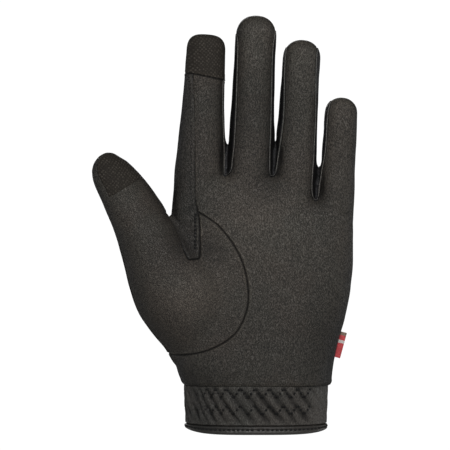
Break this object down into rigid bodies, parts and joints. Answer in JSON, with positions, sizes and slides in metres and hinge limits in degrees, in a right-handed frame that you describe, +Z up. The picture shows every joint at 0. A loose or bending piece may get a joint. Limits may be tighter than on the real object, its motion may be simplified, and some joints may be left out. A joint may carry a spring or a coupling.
{
  "type": "riding glove",
  "caption": "Left riding glove in thin black-grey grained leather with an oval thumb seam, touch fabric on index and thumb tips, a gathered wristband and a rolled hem.",
  "frame": {"origin": "centre of the wrist opening at the lower edge of the hem", "axes": "+Z up along the hand to the fingertips, -Y out of the palm, +X to the little finger's side, thumb towards -X"},
  "size_m": [0.134, 0.0429, 0.2125],
  "materials": {
    "grained_leather": "matte, fine pebble grain",
    "side_leather": "matte, smooth",
    "touch_fabric": "matte with fine dots",
    "binding_leather": "satin, smooth",
    "label_weave": "woven"
  },
  "bodies": {
    "root": {"palm_panel": "grained_leather", "back_panel": "grained_leather", "index_side_panel": "grained_leather", "thumb_front_panel": "grained_leather", "thumb_back_panel": "grained_leather", "cuff": "grained_leather", "fourchette_index_middle": "side_leather", "fourchette_middle_ring": "side_leather", "fourchette_ring_little": "side_leather", "index_touch_cap": "touch_fabric", "thumb_touch_cap": "touch_fabric", "hem_binding": "binding_leather", "side_label": "label_weave"}
  },
  "joints": []
}
